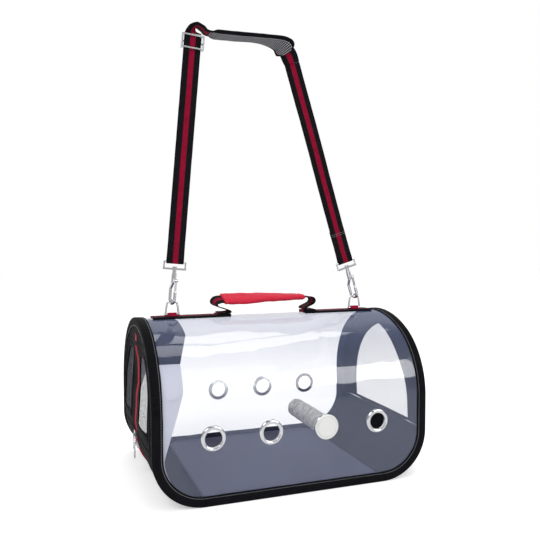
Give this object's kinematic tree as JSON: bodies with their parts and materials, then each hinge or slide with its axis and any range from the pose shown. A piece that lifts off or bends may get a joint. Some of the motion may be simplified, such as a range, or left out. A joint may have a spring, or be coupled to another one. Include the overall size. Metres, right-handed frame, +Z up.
{
  "type": "bird travel carrier",
  "caption": "Clear sheet tunnel bag on a black base with a zipped mesh door end, eyelets, a perch, a carry handle and a shoulder strap on swivel hooks.",
  "frame": {"origin": "on the ground under the middle of the bag", "axes": "+X along the bag to the mesh end, -Y the front with the perch cap, +Z up"},
  "size_m": [0.4298, 0.2869, 0.6976],
  "materials": {
    "clear_pvc": "clear glossy vinyl sheet with a faint lilac tint",
    "black_fabric": "black woven oxford cloth",
    "floor_board": "black cloth over a stiff board",
    "black_mesh": "black knitted mesh",
    "binding_tape": "black binding tape with a light stitch line",
    "red_zip_tape": "red woven tape",
    "nickel": "bright nickel plate",
    "perch_stick": "grey mottled matt stick",
    "white_cap": "plain white moulded disc",
    "striped_webbing": "black webbing with a crimson centre stripe",
    "red_padding": "red woven cloth over foam",
    "black_padding": "black padding faced with airy knit in a dotted pattern"
  },
  "bodies": {
    "root": {"clear_sheet": "clear_pvc", "bottom_panel": "black_fabric", "base_board": "floor_board", "left_end_frame": "black_fabric", "right_end_panel": "black_fabric", "right_mesh": "black_mesh", "binding_left": "binding_tape", "binding_right": "binding_tape", "binding_front": "binding_tape", "binding_back": "binding_tape", "zip_tail": "red_zip_tape", "zip_top_stop": "red_zip_tape", "front_eyelets": "nickel", "front_eyelet_washers": "nickel", "back_eyelets": "nickel", "back_eyelet_washers": "nickel", "perch": "perch_stick", "perch_bolt": "nickel", "perch_cap": "white_cap", "perch_washer": "nickel", "ridge_webbing_left": "striped_webbing", "ridge_webbing_right": "striped_webbing", "handle_foot_left": "striped_webbing", "handle_foot_right": "striped_webbing", "ring_tab_left": "striped_webbing", "ring_tab_right": "striped_webbing"},
    "front_flap": {"front_flap": "black_fabric", "front_flap_mesh": "black_mesh", "zip_tape_front": "red_zip_tape"},
    "back_flap": {"back_flap": "black_fabric", "back_flap_mesh": "black_mesh", "zip_tape_back": "red_zip_tape"},
    "handle": {"handle_webbing": "striped_webbing", "handle_sleeve": "red_padding"},
    "ring_left": {"d_ring_left": "nickel"},
    "ring_right": {"d_ring_right": "nickel"},
    "strap": {"strap_left": "striped_webbing", "strap_right": "striped_webbing", "strap_top": "striped_webbing", "shoulder_pad": "black_padding", "hook_eye_left": "nickel", "hook_eye_right": "nickel"},
    "strap_slider": {"strap_slider": "nickel"},
    "hook_left": {"hook_body_left": "nickel", "gate_pin_left": "nickel"},
    "hook_right": {"hook_body_right": "nickel", "gate_pin_right": "nickel"},
    "gate_left": {"hook_gate_left": "nickel"},
    "gate_right": {"hook_gate_right": "nickel"},
    "zip_upper": {"zip_slider_upper": "nickel"},
    "zip_lower": {"zip_slider_lower": "nickel"},
    "pull_upper": {"zip_pull_upper": "nickel"},
    "pull_lower": {"zip_pull_lower": "nickel"}
  },
  "joints": [
    {"name": "handle_tilt", "type": "hinge", "parent": "root", "child": "handle", "pos_m": [0, 0, 0.2508], "axis": [1, 0, 0], "range_deg": [-22, 22]},
    {"name": "strap_swing", "type": "hinge", "parent": "root", "child": "strap", "pos_m": [0, 0, 0.2509], "axis": [1, 0, 0], "range_deg": [-78, 78]},
    {"name": "ring_left_swing", "type": "hinge", "parent": "root", "child": "ring_left", "pos_m": [-0.155, 0, 0.2509], "axis": [1, 0, 0], "range_deg": [-78, 78]},
    {"name": "ring_right_swing", "type": "hinge", "parent": "root", "child": "ring_right", "pos_m": [0.16, 0, 0.2509], "axis": [1, 0, 0], "range_deg": [-78, 78]},
    {"name": "hook_left_swivel", "type": "hinge", "parent": "strap", "child": "hook_left", "pos_m": [-0.155, 0, 0.2734], "axis": [0.0872, 0, 0.9962], "range_deg": [-48, 8]},
    {"name": "hook_right_swivel", "type": "hinge", "parent": "strap", "child": "hook_right", "pos_m": [0.16, 0, 0.2734], "axis": [-0.2924, 0, 0.9563], "range_deg": [-40, 0]},
    {"name": "gate_left_open", "type": "hinge", "parent": "hook_left", "child": "gate_left", "pos_m": [-0.15004, -0.00634, 0.30358], "axis": [0.9361, 0.342, -0.0819], "range_deg": [0, 22], "stiffness_Nm_per_rad": 0.02, "springref_deg": -17.19},
    {"name": "gate_right_open", "type": "hinge", "parent": "hook_right", "child": "gate_right", "pos_m": [0.15329, -0.00634, 0.30324], "axis": [0.8986, 0.342, 0.2747], "range_deg": [0, 22], "stiffness_Nm_per_rad": 0.02, "springref_deg": -17.19},
    {"name": "strap_adjust", "type": "slide", "parent": "strap", "child": "strap_slider", "axis": [-0.0872, 0, -0.9962], "range_m": [0, 0.25]},
    {"name": "front_flap_open", "type": "hinge", "parent": "root", "child": "front_flap", "pos_m": [-0.21, -0.118, 0.14], "axis": [0, 0, 1], "range_deg": [0, 110]},
    {"name": "back_flap_open", "type": "hinge", "parent": "root", "child": "back_flap", "pos_m": [-0.21, 0.118, 0.14], "axis": [0, 0, -1], "range_deg": [0, 110]},
    {"name": "zip_upper_slide", "type": "slide", "parent": "root", "child": "zip_upper", "axis": [0, 0, 1], "range_m": [0, 0.1455]},
    {"name": "zip_lower_round", "type": "hinge", "parent": "root", "child": "zip_lower", "pos_m": [-0.139, 0, 0.073], "axis": [0, -1, 0], "range_deg": [0, 20]},
    {"name": "pull_upper_swing", "type": "hinge", "parent": "zip_upper", "child": "pull_upper", "pos_m": [-0.2161, -0.0036, 0.07], "axis": [0, 1, 0], "range_deg": [0, 120]},
    {"name": "pull_lower_swing", "type": "hinge", "parent": "zip_lower", "child": "pull_lower", "pos_m": [-0.21376, 0.0036, 0.05297], "axis": [0, 1, 0], "range_deg": [0, 120]}
  ],
  "couplings": [
    {"joint": "ring_left_swing", "follows": "strap_swing", "ratio": 1},
    {"joint": "ring_right_swing", "follows": "strap_swing", "ratio": 1}
  ]
}
